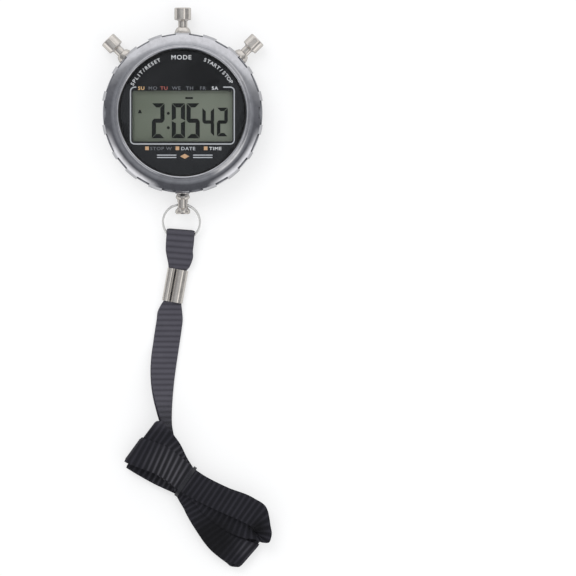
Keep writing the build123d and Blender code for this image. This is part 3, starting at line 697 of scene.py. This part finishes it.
def ribbon_mesh(name, sections, pitch=RIB_PITCH):
    """A ribbed ribbon through sections, each a pair of edge points in millimetres.

    The ribs cross the ribbon at an even pitch, and stop short of a thin smooth selvage on each edge.
    """
    first = np.array([s[0] for s in sections], float)
    second = np.array([s[1] for s in sections], float)
    reaches = [np.linalg.norm(np.diff(edge, axis=0), axis=1) for edge in (first, second)]
    lengths = (reaches[0] + reaches[1]) / 2
    steps = np.maximum(2, np.ceil(lengths / STEP)).astype(int)
    first, second = edge_curve(first, lengths, steps), edge_curve(second, lengths, steps)
    centre, across = (first + second) / 2, second - first
    travel = np.concatenate([[0], np.cumsum(np.linalg.norm(np.diff(centre, axis=0), axis=1))])
    rib = np.abs(np.sin(np.pi * travel / pitch)) ** 0.55

    forward = np.gradient(centre, axis=0)
    rounding = np.clip((1 - np.abs(LANES)) / EDGE_ROUNDING, 0, 1) ** 0.5
    ribbed = np.clip((SELVAGE_START - np.abs(LANES)) / SELVAGE_BLEND, 0, 1)
    faces_of_lanes = []
    for lane, round_off, share in zip(LANES, rounding, ribbed):
        line = centre + across * lane / 2
        along = np.gradient(line, axis=0) + 0.05 * forward
        normal = np.cross(along, across)
        normal /= np.linalg.norm(normal, axis=1)[:, None]
        relief = rib * share - SELVAGE_DROP * (1 - share)
        raised = RIBBON_THICKNESS / 2 * round_off + RIB_DEPTH / 2 * relief
        faces_of_lanes.append((line, normal * np.maximum(raised, THINNEST)[:, None]))
    ring = [line + lift for line, lift in faces_of_lanes]
    ring += [line - lift for line, lift in faces_of_lanes[::-1]]
    lane_of_ring = np.concatenate([LANES, LANES[::-1]])

    around, count = len(ring), len(centre)
    points = np.stack(ring, axis=1).reshape(-1, 3) * MM
    i = np.arange(count - 1)[:, None] * around
    j = np.arange(around)[None, :]
    k = (j + 1) % around
    quads = np.stack([i + j, i + k, i + around + k, i + around + j], axis=-1).reshape(-1, 4)
    ends = [tuple(range(around))[::-1], tuple((count - 1) * around + n for n in range(around))]
    mesh = bpy.data.meshes.new(name)
    mesh.from_pydata(points.tolist(), [], quads.tolist() + ends)
    corners = np.zeros(len(mesh.loops), np.int32)
    mesh.loops.foreach_get("vertex_index", corners)
    u = lane_of_ring[corners % around] * HALF_WIDTH * MM
    v = travel[corners // around] * (RIB_PITCH / pitch) * MM
    layer = mesh.uv_layers.new(name="ribbon")
    layer.data.foreach_set("uv", np.stack([u, v], axis=1).reshape(-1).astype(np.float32))
    mesh.polygons.foreach_set("use_smooth", [True] * len(mesh.polygons))
    bm = bmesh.new()
    bm.from_mesh(mesh)
    bmesh.ops.recalc_face_normals(bm, faces=bm.faces)
    bm.to_mesh(mesh)
    bm.free()
    mesh.update()
    return mesh


def section(centre, side, half=HALF_WIDTH, roll=0.0, offset=0.0):
    """Edge points of a ribbon. side is a level unit vector towards its first edge, which roll raises.

    offset moves it along its own upper face's normal.
    """
    turn = math.radians(roll)
    width = (side * math.cos(turn) + UP * math.sin(turn)) * half
    middle = np.array(centre, float) + (UP * math.cos(turn) - side * math.sin(turn)) * offset
    return middle + width, middle - width


def swapped(sections):
    """The same sections with their edges changed over."""
    return [(second, first) for first, second in sections]


# The folded hank is laid out in millimetres from the tie: a runs along its axis to the right, and b
# across it.
tie_low, tie_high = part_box("hank_tie")
WAIST = np.array([(tie_low.x + tie_high.x) / 2, (tie_low.y + tie_high.y) / 2, 0]) / MM
HANK_TURN = math.radians(-35)
ALONG = np.array([math.cos(HANK_TURN), math.sin(HANK_TURN), 0])
ACROSS = np.array([-math.sin(HANK_TURN), math.cos(HANK_TURN), 0])


def hank_point(a, b, z):
    """A point of the hank in the part's frame, in millimetres."""
    return WAIST + ALONG * a + ACROSS * b + np.array([0, 0, z])


def run(a, b, z, turn=0.0, half=HALF_WIDTH, roll=0.0, offset=0.0):
    """A section of the hank's ribbon. It lies along a line turned from the hank's axis, in degrees."""
    angle = math.radians(turn)
    side = ALONG * math.sin(angle) - ACROSS * math.cos(angle)
    return section(hank_point(a, b, z), side, half, roll, offset)


def hairpin(a, b, turn, first, last, radius=0.55):
    """Sections round a hairpin whose tip is at (a, b), from one height to another."""
    lead = 3.0
    part_back, part_up = 0.3, 0.714  # a point part of the way round the bend, in radii
    angle = math.radians(turn)
    outward = 1 if a > 0 else -1
    middle = (first + last) / 2
    radius = max(radius, abs(last - first) / 2)
    swing = math.copysign(radius, first - last)
    steps = [(radius + lead, first), (radius, middle + swing)]
    steps += [(radius * part_back, middle + swing * part_up), (0, middle)]
    steps += [(radius * part_back, middle - swing * part_up), (radius, middle - swing)]
    steps.append((radius + lead, last))
    dx, dy = outward * math.cos(angle), outward * math.sin(angle)
    return [run(a - dx * back, b - dy * back, z, turn) for back, z in steps]


def at_waist(layer, b):
    """A section under the tie. Layer 0 is the top one."""
    return run(0, b, LOWEST_LAYER + LAYER_PITCH * (LAYERS - 1 - layer))


def strap_solid_slice(y):
    """(low x, high x, low z, high z) of the CAD neck strap where it crosses a plane of y, in millimetres."""
    mesh = frame["nodes"]["neck_strap"].data
    points = np.array([v.co for v in mesh.vertices]) / MM
    ends = np.array([e.vertices for e in mesh.edges])
    a, b = points[ends[:, 0]], points[ends[:, 1]]
    crossing = (a[:, 1] - y) * (b[:, 1] - y) < 0
    a, b = a[crossing], b[crossing]
    t = (y - a[:, 1]) / (b[:, 1] - a[:, 1])
    hits = a + t[:, None] * (b - a)
    return hits[:, 0].min(), hits[:, 0].max(), hits[:, 2].min(), hits[:, 2].max()


def strap_section(y, face):
    """One of the hanging strap's two layers at y, inside the CAD strap. face is 1 for the upper layer."""
    x0, x1, z0, z1 = strap_solid_slice(y)
    spot = ((x0 + x1) / 2, y, (z0 + z1) / 2)
    half_x, half_z = (x1 - x0) / 2, (z1 - z0) / 2
    scale = HALF_WIDTH**2 - STRAP_HALF_THICKNESS**2
    cosine = (HALF_WIDTH * half_x - STRAP_HALF_THICKNESS * half_z) / scale
    sine = max(0.0, (HALF_WIDTH * half_z - STRAP_HALF_THICKNESS * half_x) / scale)
    roll = math.degrees(math.atan2(sine, cosine))
    half = min(HALF_WIDTH, half_x) if roll < 4 else HALF_WIDTH
    return section(spot, WEST, half, roll, LAYER_GAP * face)


def strap_run(face):
    """Sections of one layer from inside the crimp down to the hank's tie.

    It comes out of the crimp flat and rolls on to its edge. It then lies down again under the top band.
    """
    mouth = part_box("strap_crimp")[0].y / MM + 1.0
    offset = LAYER_GAP * face
    sections = []
    for back, half in ((-3.0, 2.9), (-0.5, 3.3), (1.6, 4.0), (4.0, 4.7), (7.0, 5.0)):
        y = mouth - back
        x0, x1, z0, z1 = strap_solid_slice(y)
        sections.append(section(((x0 + x1) / 2, y, (z0 + z1) / 2), WEST, half, 0, offset))
    sections += [strap_section(y, face) for y in np.linspace(mouth - 11.0, -114.5, 8)]
    lying_down = [
        {"a": -18.6, "b": 13.4, "z": 4.6, "turn": -55, "half": 3.9, "roll": 60},
        {"a": -16.4, "b": 10.6, "z": 4.6, "turn": -50, "half": 3.4, "roll": 45},
        {"a": -13.0, "b": 7.2, "z": 5.0, "turn": -42, "half": 3.4, "roll": 32},
        {"a": -8.0, "b": 3.6, "z": 5.9, "turn": -28, "half": 4.0, "roll": 16},
        {"a": -4.0, "b": 1.4, "z": 6.9, "turn": -12, "half": 4.8, "roll": 7},
    ]
    return sections + [run(**place, offset=offset) for place in lying_down]


def hank_pairs(first, second):
    """Sections of the hank given by both their edges, each a list of (a, b, z)."""
    return [(hank_point(*f), hank_point(*s)) for f, s in zip(first, second)]


def right_cup():
    """The top layer's wide turn at the right end, where the ribbon swings round to the top band."""
    outer = [
        (5.4, -4.5, 7.5), (12.9, -6.2, 6.8), (25.3, -6.3, 6.1), (30.0, -5.2, 6.1), (34.5, -2.9, 6.4),
        (37.8, -2.1, 7.0), (39.5, -0.7, 7.5), (38.9, 1.8, 8.0), (36.2, 5.0, 8.4), (31.0, 9.7, 8.7),
        (25.0, 9.9, 8.9),
    ]
    inner = [
        (5.4, 5.4, 7.6), (13.5, 4.6, 7.1), (23.5, 3.9, 6.3), (27.0, 3.0, 6.0), (30.0, 1.0, 5.1),
        (32.0, -0.9, 4.2), (33.0, -1.4, 3.9), (32.5, -0.8, 4.4), (31.5, 0.0, 6.5), (30.0, 0.4, 8.9),
        (25.0, -0.3, 9.2),
    ]
    return hank_pairs(inner, outer)


def top_band():
    """From the cup back over the waist, and round the left end down to the table."""
    path = [run(14, 2.5, 9.15, 2, 4.9), at_waist(0, 0.95), run(-5.5, 1.5, 9.0, 7, 5.3)]
    path += [run(-12.5, 1.3, 9.35, 11, 5.6), run(-18.0, 0.0, 9.4, 9, 5.7)]
    path += [run(-21.4, -1.0, 9.0, 4, 5.7), run(-23.0, -1.4, 7.6, 0, 5.7), run(-23.5, -1.4, 5.0, -1, 5.7)]
    return path + [run(-22.6, -1.2, 2.0, 0, 5.6), run(-18.5, -0.9, 0.75, 2), run(-9, -0.3, 0.66)]


def left_fan():
    """The wide fold beside the top band at the left end. It covers the strap where that enters the hank."""
    lower = [
        (-17.3, 2.7, 7.45), (-21.4, 3.2, 7.45), (-22.6, 3.4, 7.85), (-21.6, 3.2, 8.25), (-17.3, 2.7, 8.35),
    ]
    upper = [
        (-17.6, 13.1, 9.10), (-21.0, 13.6, 9.10), (-22.3, 12.8, 9.55), (-21.2, 13.6, 10.0),
        (-17.6, 13.1, 10.0),
    ]
    return hank_pairs(lower, upper)


def right_fan():
    """The fold that fans out below the others at the right end, with its outer corner rounded."""
    lower = [
        (30.6, -16.6, 3.3), (33.4, -16.5, 3.3), (35.6, -15.0, 3.8), (34.6, -14.9, 4.5), (30.6, -16.2, 4.7),
    ]
    upper = [
        (31.2, -5.4, 3.6), (35.6, -4.0, 3.3), (36.8, -3.4, 3.9), (36.0, -3.8, 4.6), (31.2, -5.2, 4.8),
    ]
    return hank_pairs(lower, upper)


def right_fold(first, last, leave, back, lead_turn, tip):
    """A fold at the right end, between the heights first and last of its two layers beside the waist.

    leave and back are the layers' b there, and tip is its hairpin's (a, b, turn, first, last).
    """
    return [run(16, leave, first, lead_turn)] + hairpin(*tip) + [run(16, back, last, lead_turn)]


def left_fold(first, last, leave, back, lead_turn, tip):
    """A fold at the left end, as right_fold."""
    fold = [run(-10, leave, first, lead_turn)] + hairpin(*tip, radius=0.4)
    return fold + [run(-10, back, last, lead_turn)]


def hank_path():
    """The whole neck ribbon: down the strap's upper layer, back and forth in twelve layers, and up again."""
    path = swapped(strap_run(1) + [at_waist(1, 0.3)])
    path += right_cup() + top_band() + [at_waist(11, 0.2)]
    path += right_fold(0.70, 1.3, -2.6, -2.4, -8, (33.0, -6.2, -12, 0.70, 1.70)) + [at_waist(10, -0.3)]
    path += left_fold(1.4, 2.1, 0.2, -0.2, 0, (-20.6, 0.6, -2, 1.4, 2.2)) + [at_waist(9, -0.4)]
    path += right_fold(1.85, 2.5, -1.6, -0.6, -4, (36.2, -3.4, -5, 2.0, 3.0)) + [at_waist(8, -1.1)]
    path += left_fold(2.9, 3.6, -2.7, -2.7, 6, (-21.9, -3.7, 3, 2.9, 3.7)) + [at_waist(7, -1.1)]
    path += right_fold(3.1, 3.75, -2.6, -2.6, -10, (31.4, -6.8, -13, 3.1, 4.2)) + [at_waist(6, 0.4)]
    path += left_fold(4.3, 5.0, 0.9, 0.9, -3, (-20.9, 1.5, -3, 4.3, 5.1)) + [at_waist(5, 0.4)]
    path += [run(14, -1.0, 4.4, -4)] + hairpin(26.0, -1.8, -4, 4.1, 5.1)
    path += [run(14, -1.2, 5.0, -4), at_waist(4, 0.6)]
    path += [run(-6, 2.9, 6.8, -14), run(-12, 6.1, 7.9, -14, roll=-6)] + left_fan()
    path += [run(-12, 6.1, 8.75, -14, roll=-6), run(-6, 2.9, 7.6, -14), at_waist(3, 0.6)]
    path += [run(8, -4.6, 5.75, -24), run(16, -8.4, 5.1, -23), run(24, -11.1, 4.2, -14)] + right_fan()
    path += [run(24, -11.0, 5.4, -14), run(16, -8.3, 5.9, -23), run(8, -4.5, 6.45, -24)]
    return path + [at_waist(2, -1.2)] + strap_run(-1)[::-1]


def neck_ribbon(fabric):
    """The strap and the folded hank, in place of the plain CAD strap."""
    thing = piece("neck_ribbon", ribbon_mesh("neck_ribbon", hank_path()), fabric, "lanyard")
    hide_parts("neck_strap")


def loop_ribbon(fabric):
    """The short ribbon through the split ring. It bends between the ring and the crimp below it."""
    loop_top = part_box("ring_loop")[1].y / MM
    crimp_low, crimp_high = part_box("strap_crimp")
    lean = math.radians(4.5)
    down = np.array([-math.sin(lean), -math.cos(lean), 0])
    side = np.array([-math.cos(lean), math.sin(lean), 0])
    stud_hole = np.array([0, -35.0, 0])
    start = stud_hole[1] - loop_top + 0.15
    gather = np.array([(crimp_low.x + crimp_high.x) / 2 / MM + 1.1, crimp_high.y / MM, 0])

    def level(reach, z, half=5.35):
        """A section at a distance from the stud's cross hole."""
        return section(stud_hole + down * reach + UP * z, side, half)

    def near_crimp(step, z, half, shift=0.0):
        """A section at a distance below the crimp's upper end."""
        return section(gather + np.array([-0.16 * step + shift, -step, z]), side, half)

    under = [near_crimp(5.0, 1.1, 3.0), near_crimp(0.8, 1.15, 3.5), near_crimp(-1.2, 0.9, 4.1, 0.1)]
    under += [near_crimp(-3.4, 0.6, 4.9, 0.1), level(18.0, 0.42, 5.2), level(14.0, 0.42)]
    under += [level(start + 1.9, 0.55)]
    turn = [level(start + 0.55, 1.15), level(start, 2.1), level(start + 0.55, 3.05)]
    over = [level(start + 1.9, 3.7), level(14.0, 3.75), level(17.0, 3.5, 5.2)]
    over += [near_crimp(-4.2, 3.1, 4.95, 0.2), near_crimp(-1.9, 2.85, 4.45, 0.35)]
    over += [near_crimp(-0.2, 2.6, 3.9, 0.35), near_crimp(1.0, 2.2, 3.4), near_crimp(5.0, 2.0, 3.0)]
    mesh = ribbon_mesh("loop_ribbon", under + turn + over, 2.3)
    thing = finished("loop_ribbon", mesh, fabric)
    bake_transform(thing)
    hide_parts("ring_loop")


# ---------------------------------------------------------------- studio
def world():
    """A studio. Matt surfaces get an even light, and reflections see its bright and dark sides."""
    scene_world = bpy.data.worlds.new("studio")
    bpy.context.scene.world = scene_world
    scene_world.use_nodes = True
    tree = scene_world.node_tree
    tree.nodes.clear()
    g = Graph(tree)
    direction = g.add("ShaderNodeTexCoord").outputs["Generated"]
    x, y, z = g.add("ShaderNodeSeparateXYZ", {0: direction}).outputs
    tilt = g.spread(g.total(y, (x, 0.12)), 0.0, 1.0, -1.0, 1.0)
    from_dark_to_light = g.colours(tilt, [
        (0.0, (0.088, 0.090, 0.100)), (0.50, (0.125, 0.128, 0.140)), (0.61, (0.165, 0.168, 0.180)),
        (0.715, (0.335, 0.340, 0.350)), (0.80, (0.730, 0.735, 0.750)), (0.93, (0.800, 0.800, 0.815)),
        (1.0, (0.850, 0.850, 0.860)),
    ])
    overhead = g.spread(z, 0.0, 1.0, 0.66, 0.96)
    reflected = g.mix(overhead, from_dark_to_light, (0.34, 0.35, 0.37, 1.0))
    strip = g.product(g.spread(x, 0.0, 1.0, 0.24, 0.31), g.spread(x, 1.0, 0.0, 0.46, 0.54))
    strip = g.product(strip, g.spread(z, 0.0, 1.0, 0.80, 0.86))
    reflected = g.mix(strip, reflected, (1.0, 0.99, 0.97, 1.0))
    aside, below = g.spread(g.math("ABSOLUTE", x), 0.0, 1.0, 0.30, 0.50), g.spread(y, 1.0, 0.0, -0.45, -0.15)
    low_corners = g.product(g.product(aside, below), g.spread(z, 1.0, 0.0, 0.30, 0.62))
    reflected = g.mix(low_corners, reflected, (0.95, 0.95, 0.96, 1.0))
    glossy = g.add("ShaderNodeLightPath").outputs["Is Glossy Ray"]
    even = g.add("ShaderNodeBackground", {"Color": (0.98, 0.99, 1.0, 1.0), "Strength": 0.84}).outputs[0]
    shaped = g.add("ShaderNodeBackground", {"Color": reflected, "Strength": 1.0}).outputs[0]
    mixed = g.add("ShaderNodeMixShader", {"Fac": glossy, 1: even, 2: shaped}).outputs[0]
    output = g.add("ShaderNodeOutputWorld")
    tree.links.new(mixed, output.inputs["Surface"])


def soft_light(name, place, size, power):
    """A round soft lamp that points at the middle of the object and leaves no highlight of its own."""
    middle = Vector((0.02, -0.06, 0))
    lamp = bpy.data.lights.new(name, "AREA")
    lamp.shape = "DISK"
    lamp.size = size
    lamp.energy = power
    thing = scene_object(name, lamp)
    thing.location = place
    thing.rotation_euler = (middle - Vector(place)).to_track_quat("-Z", "Y").to_euler()
    thing.visible_glossy = False


def pale_floor(name):
    """A nearly white floor. It looks darker in the metal than it does to the eye."""

    def values(g):
        shade = g.noise(g.place(), 0.004, 2.0)
        mirrored = g.add("ShaderNodeLightPath").outputs["Is Glossy Ray"]
        return {
            "Base Color": g.colours(shade, [(0.3, (0.43, 0.43, 0.435)), (0.7, (0.45, 0.45, 0.452))]),
            "Roughness": 0.9,
            "Specular IOR Level": 0.1,
            "Emission Color": (1.0, 1.0, 1.0, 1.0),
            "Emission Strength": g.spread(mirrored, 0.56, 0.12),
        }

    return surface(name, values)


def floor():
    """A plain pale sheet just under the object."""
    half, level = 3.0, -0.00005
    bm = bmesh.new()
    corners = ((-half, -half), (half, -half), (half, half), (-half, half))
    bm.faces.new([bm.verts.new((x, y, level)) for x, y in corners])
    mesh = mesh_from(bm, "floor")
    mesh.materials.append(pale_floor("pale_floor"))
    scene_object("floor", mesh)


def camera():
    """Straight above, with the object at the left of the picture and its top at the top."""
    lens = bpy.data.cameras.new("camera")
    lens.lens = 425.0
    lens.sensor_width = 36.0
    thing = scene_object("camera", lens)
    thing.location = (0.0403, -0.0669, 2.609)
    bpy.context.scene.camera = thing


def main():
    """Builds the object's looks and the studio."""
    finishes = paint_frame_nodes()
    return_springs(finishes["spring_steel"])
    dial_print()
    display_digits()
    neck_ribbon(finishes["ribbon_black"])
    loop_ribbon(finishes["ribbon_black"])
    world()
    soft_light("key", (-0.35, 0.55, 1.1), 0.8, 4.0)
    soft_light("fill", (0.6, -0.3, 1.2), 1.0, 1.5)
    floor()
    camera()
    bpy.context.scene.view_settings.view_transform = "Standard"


main()
